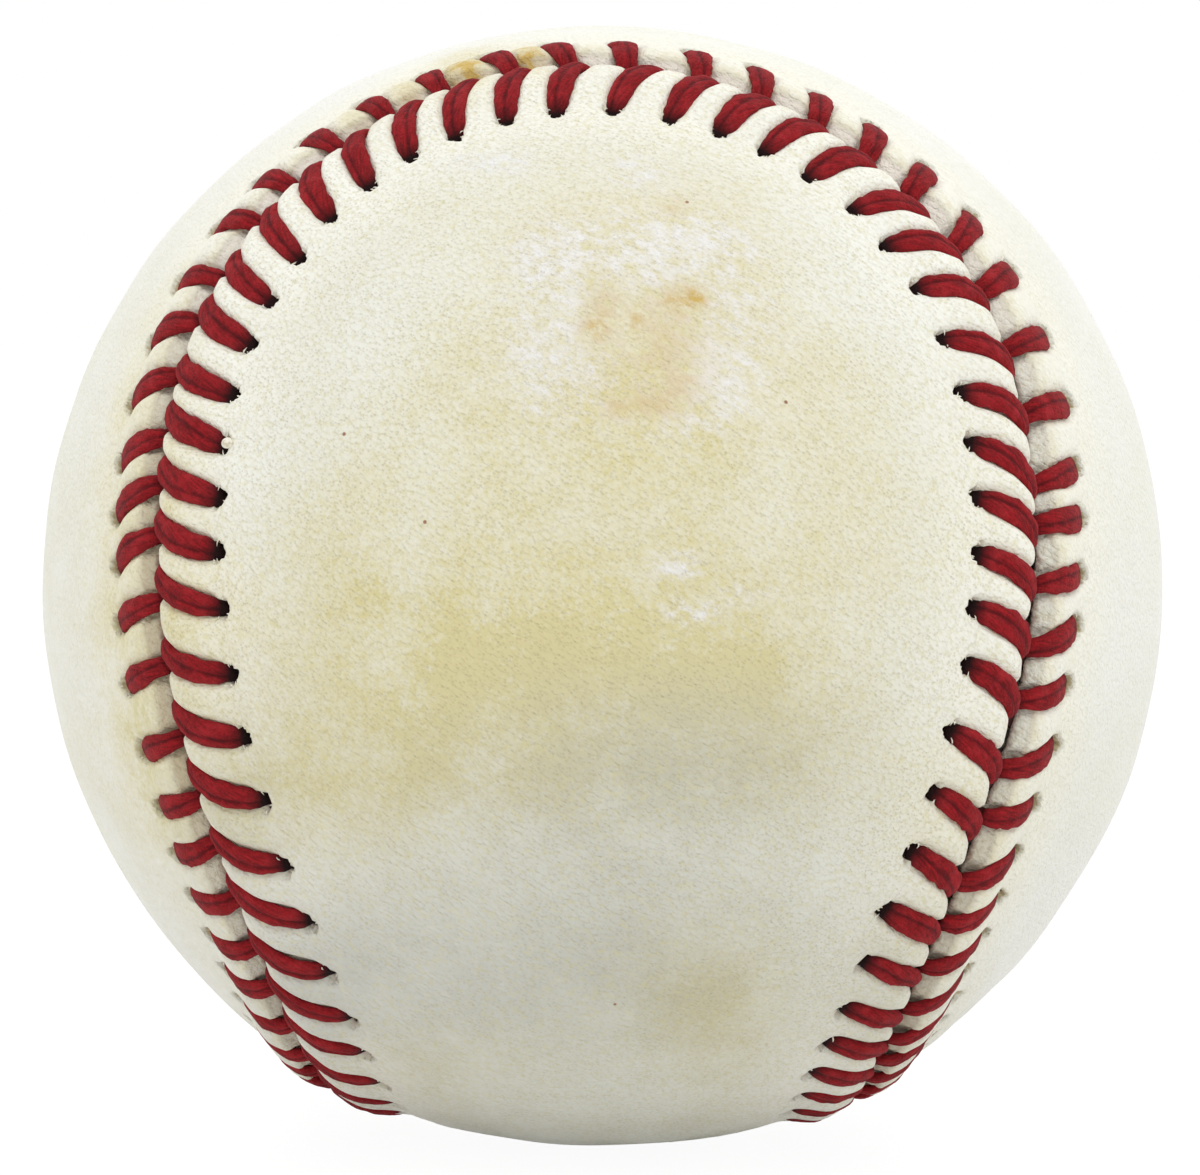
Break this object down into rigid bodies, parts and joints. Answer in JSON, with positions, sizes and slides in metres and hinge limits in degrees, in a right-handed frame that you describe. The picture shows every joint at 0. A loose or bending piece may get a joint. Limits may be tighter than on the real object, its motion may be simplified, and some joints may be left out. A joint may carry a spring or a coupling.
{
  "type": "baseball",
  "caption": "Hand-sewn leather ball with a cork and rubber centre, a wound yarn body, interlocking figure-eight panels and a raised seam of red stitches.",
  "frame": {"origin": "centre of the ball", "axes": "+Z leaves through the waist of the upper panel and -Z through the waist of the lower panel; the round ends of the lower panel lie towards -Y and +Y, those of the upper panel towards +X and -X; the picture looks along +Y at one end of the lower panel"},
  "size_m": [0.0738, 0.0738, 0.0738],
  "materials": {
    "cork_composition": "granulated cork bound in rubber, as moulded",
    "black_rubber": "moulded, matte",
    "washer_rubber": "die-cut sheet, matte",
    "red_rubber": "moulded, matte",
    "grey_wool_thick": "four-ply grey wool yarn, wound tight",
    "white_wool": "three-ply white wool yarn, wound tight",
    "grey_wool": "three-ply grey wool yarn, wound tight",
    "cotton_yarn": "fine white cotton finishing yarn with a coat of cement",
    "cowhide": "alum-tanned white full-grain cowhide, soiled and scuffed by play",
    "waxed_thread": "waxed dark red cotton thread, matte"
  },
  "bodies": {
    "root": {"cork_core": "cork_composition", "half_shell_upper": "black_rubber", "half_shell_lower": "black_rubber", "shell_washer": "washer_rubber", "pill_cover": "red_rubber", "first_winding": "grey_wool_thick", "second_winding": "white_wool", "third_winding": "grey_wool", "finish_winding": "cotton_yarn", "cover_panel_upper": "cowhide", "cover_panel_lower": "cowhide", "thread_run_left": "waxed_thread", "thread_run_right": "waxed_thread"}
  },
  "joints": []
}
